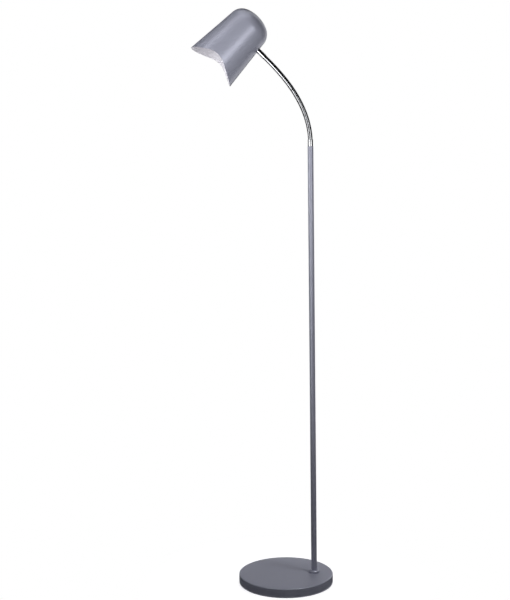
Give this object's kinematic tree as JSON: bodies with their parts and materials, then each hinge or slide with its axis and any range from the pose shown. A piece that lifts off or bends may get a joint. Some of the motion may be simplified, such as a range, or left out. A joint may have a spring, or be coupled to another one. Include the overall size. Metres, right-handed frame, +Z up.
{
  "type": "gooseneck floor lamp",
  "caption": "Reading floor lamp: weighted round base, slim painted pole, chromed ribbed gooseneck that bends and sways, and a painted domed shade over a screw-in bulb",
  "frame": {"origin": "centre of the base's underside, on the floor", "axes": "+Z up; the pole stands at +X of the base's centre and the gooseneck leans to -X; -Y is the side that the picture shows and +Y is the back, with the cord's inlet"},
  "size_m": [0.3558, 0.2516, 1.5077],
  "materials": {
    "painted_steel": "semi-gloss grey-lilac paint",
    "steel": "zinc-plated",
    "chrome": "polished",
    "cast_iron": "as cast, black primer",
    "rubber": "matte black",
    "felt": "pressed felt",
    "black_plastic": "moulded",
    "white_plastic": "moulded",
    "opal_plastic": "opal, frosted",
    "ceramic": "unglazed steatite",
    "brass": "bare",
    "aluminium": "bare"
  },
  "bodies": {
    "stand": {"base_cover": "painted_steel", "base_weight": "cast_iron", "base_plate": "steel", "base_pad": "felt", "base_screws": "steel", "cord_grommet": "rubber", "pole": "painted_steel", "pole_collar": "painted_steel", "pole_foot_insert": "steel", "base_nipple": "steel", "base_washer": "steel", "base_lock_washer": "steel", "base_nut": "steel", "pole_top_bush": "steel", "lower_ferrule": "chrome", "gooseneck_segment_01": "chrome"},
    "neck_02": {"gooseneck_segment_02": "chrome"},
    "neck_03": {"gooseneck_segment_03": "chrome"},
    "neck_04": {"gooseneck_segment_04": "chrome"},
    "neck_05": {"gooseneck_segment_05": "chrome"},
    "neck_06": {"gooseneck_segment_06": "chrome"},
    "neck_07": {"gooseneck_segment_07": "chrome"},
    "neck_08": {"gooseneck_segment_08": "chrome"},
    "neck_09": {"gooseneck_segment_09": "chrome"},
    "neck_10": {"gooseneck_segment_10": "chrome"},
    "neck_11": {"gooseneck_segment_11": "chrome"},
    "neck_12": {"gooseneck_segment_12": "chrome"},
    "neck_13": {"gooseneck_segment_13": "chrome"},
    "head": {"gooseneck_segment_14": "chrome", "upper_ferrule": "chrome", "shade": "painted_steel", "holder_bracket": "steel", "neck_washer": "steel", "neck_nut": "steel", "holder_cap": "black_plastic", "holder_nut": "steel", "holder_skirt": "black_plastic", "holder_block": "ceramic", "holder_contacts": "brass", "bulb_contact": "brass", "bulb_cap": "aluminium", "bulb_collar": "white_plastic", "bulb_globe": "opal_plastic"}
  },
  "joints": [
    {"name": "gooseneck_bend", "type": "hinge", "parent": "stand", "child": "neck_02", "pos_m": [0.0755, 0, 1.1745], "axis": [0, -1, 0], "range_deg": [-12.8, 10]},
    {"name": "gooseneck_sway", "type": "hinge", "parent": "neck_02", "child": "neck_03", "pos_m": [0.07358, 0, 1.19388], "axis": [0.9895, 0, 0.1447], "range_deg": [-10.5, 10.5]},
    {"name": "gooseneck_bend_2", "type": "hinge", "parent": "neck_03", "child": "neck_04", "pos_m": [0.06987, 0, 1.21299], "axis": [0, -1, 0], "range_deg": [-12.8, 10]},
    {"name": "gooseneck_sway_2", "type": "hinge", "parent": "neck_04", "child": "neck_05", "pos_m": [0.06454, 0, 1.23171], "axis": [0.95, 0, 0.3122], "range_deg": [-10.5, 10.5]},
    {"name": "gooseneck_bend_3", "type": "hinge", "parent": "neck_05", "child": "neck_06", "pos_m": [0.05772, 0, 1.24995], "axis": [0, -1, 0], "range_deg": [-12.8, 10]},
    {"name": "gooseneck_sway_3", "type": "hinge", "parent": "neck_06", "child": "neck_07", "pos_m": [0.04959, 0, 1.26764], "axis": [0.8941, 0, 0.4479], "range_deg": [-10.5, 10.5]},
    {"name": "gooseneck_bend_4", "type": "hinge", "parent": "neck_07", "child": "neck_08", "pos_m": [0.04029, 0, 1.28475], "axis": [0, -1, 0], "range_deg": [-12.8, 10]},
    {"name": "gooseneck_sway_4", "type": "hinge", "parent": "neck_08", "child": "neck_09", "pos_m": [0.02998, 0, 1.30126], "axis": [0.8333, 0, 0.5528], "range_deg": [-10.5, 10.5]},
    {"name": "gooseneck_bend_5", "type": "hinge", "parent": "neck_09", "child": "neck_10", "pos_m": [0.01878, 0, 1.31719], "axis": [0, -1, 0], "range_deg": [-12.8, 10]},
    {"name": "gooseneck_sway_5", "type": "hinge", "parent": "neck_10", "child": "neck_11", "pos_m": [0.00682, 0, 1.33256], "axis": [0.7765, 0, 0.6301], "range_deg": [-10.5, 10.5]},
    {"name": "gooseneck_bend_6", "type": "hinge", "parent": "neck_11", "child": "neck_12", "pos_m": [-0.00575, 0, 1.34742], "axis": [0, -1, 0], "range_deg": [-12.8, 10]},
    {"name": "gooseneck_sway_6", "type": "hinge", "parent": "neck_12", "child": "neck_13", "pos_m": [-0.01885, 0, 1.36183], "axis": [0.7303, 0, 0.6831], "range_deg": [-10.5, 10.5]},
    {"name": "gooseneck_bend_7", "type": "hinge", "parent": "neck_13", "child": "head", "pos_m": [-0.03235, 0, 1.37585], "axis": [0, -1, 0], "range_deg": [-12.8, 10]}
  ]
}
